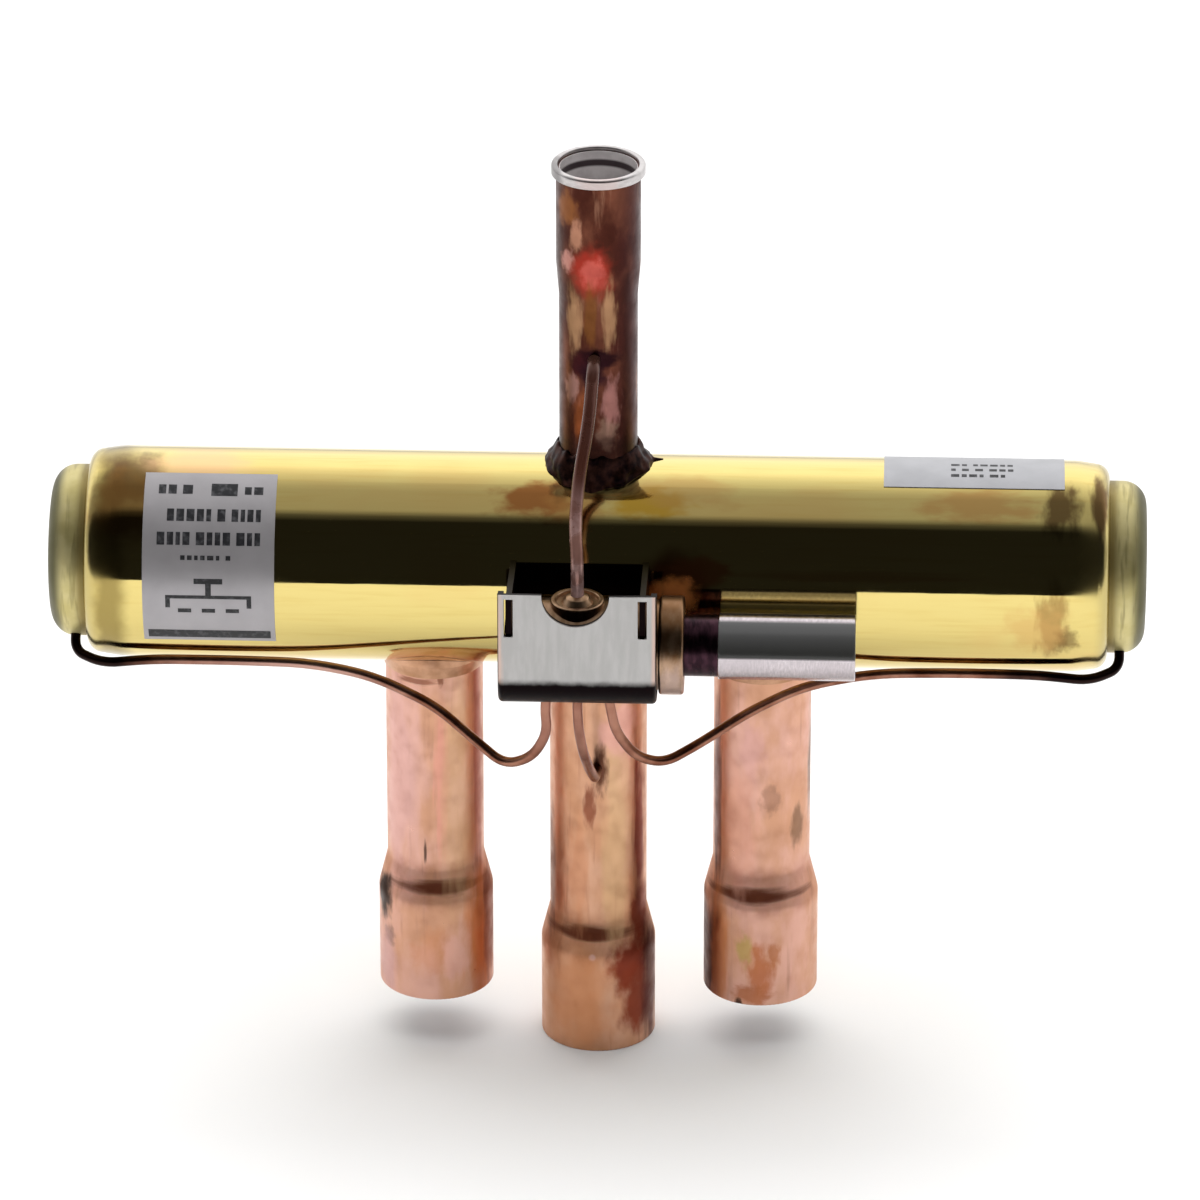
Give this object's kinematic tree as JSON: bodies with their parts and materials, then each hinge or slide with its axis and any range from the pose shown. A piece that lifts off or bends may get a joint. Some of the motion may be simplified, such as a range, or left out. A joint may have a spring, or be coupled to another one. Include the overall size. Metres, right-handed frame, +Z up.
{
  "type": "four way reversing valve",
  "caption": "Pilot-operated slide valve that swaps the refrigerant path of a heat pump, with brass body, copper stubs and a bare plunger stem for its coil",
  "frame": {"origin": "centre of the mouth of the suction tube, the middle one of the three lower tubes", "axes": "+X along the main tube towards the end that the plunger tube points to; +Z up, from the suction tube to the discharge tube; the pilot valve is at -Y"},
  "size_m": [0.2298, 0.0664, 0.2021],
  "materials": {
    "brass_tube": "polished drawn brass, lightly tarnished",
    "brass_cap": "pressed brass, satin bright",
    "copper_tube": "annealed copper, pink and orange oxide bloom",
    "copper_burnt": "heat-tarnished copper, brown and purple",
    "copper_line": "small copper capillary, dull",
    "collar_metal": "bright tinned steel",
    "braze_metal": "burnt braze metal with flux residue",
    "sheet_steel": "plain stamped sheet steel",
    "pilot_brass": "turned brass, heat-browned",
    "seat_brass": "machined brass",
    "blued_steel": "heat-blued steel",
    "stainless": "polished stainless steel",
    "magnetic_steel": "machined magnetic stainless steel",
    "zinc_steel": "zinc-plated steel",
    "spring_steel": "spring steel",
    "slide_plastic": "moulded nylon, natural",
    "seal_plastic": "filled PTFE",
    "foil": "matt silver foil sticker"
  },
  "bodies": {
    "valve_body": {"main_tube": "brass_tube", "left_end_cap": "brass_cap", "right_end_cap": "brass_cap", "valve_seat": "seat_brass", "discharge_tube": "copper_burnt", "discharge_collar": "collar_metal", "left_port_tube": "copper_tube", "suction_tube": "copper_tube", "right_port_tube": "copper_tube", "discharge_braze": "braze_metal", "port_braze_rings": "braze_metal", "pilot_saddle": "sheet_steel", "pilot_clip": "sheet_steel", "pilot_body": "pilot_brass", "pilot_inlet_boss": "pilot_brass", "pilot_seat": "seat_brass", "neck_adapter": "blued_steel", "plunger_tube": "stainless", "fixed_core": "magnetic_steel", "discharge_capillary": "copper_line", "suction_capillary": "copper_line", "left_capillary": "copper_line", "right_capillary": "copper_line", "nameplate": "foil", "top_label": "foil", "return_spring": "spring_steel"},
    "slide_shuttle": {"main_slide": "slide_plastic", "slide_frame": "zinc_steel", "left_piston_plate": "zinc_steel", "left_seal_spreader": "spring_steel", "left_piston_seal": "seal_plastic", "left_piston_cover": "zinc_steel", "left_piston_screws": "zinc_steel", "right_piston_plate": "zinc_steel", "right_seal_spreader": "spring_steel", "right_piston_seal": "seal_plastic", "right_piston_cover": "zinc_steel", "right_piston_screws": "zinc_steel"},
    "pilot_shuttle": {"pilot_plunger": "magnetic_steel", "pilot_carrier": "magnetic_steel", "pilot_slide": "slide_plastic", "pilot_leaf_spring": "spring_steel"}
  },
  "joints": [
    {"name": "main_slide_travel", "type": "slide", "parent": "valve_body", "child": "slide_shuttle", "axis": [1, 0, 0], "range_m": [0, 0.0348]},
    {"name": "pilot_plunger_travel", "type": "slide", "parent": "valve_body", "child": "pilot_shuttle", "axis": [1, 0, 0], "range_m": [0, 0.005], "stiffness_N_per_m": 800, "springref_m": -0.003, "deforming": ["return_spring"]}
  ]
}
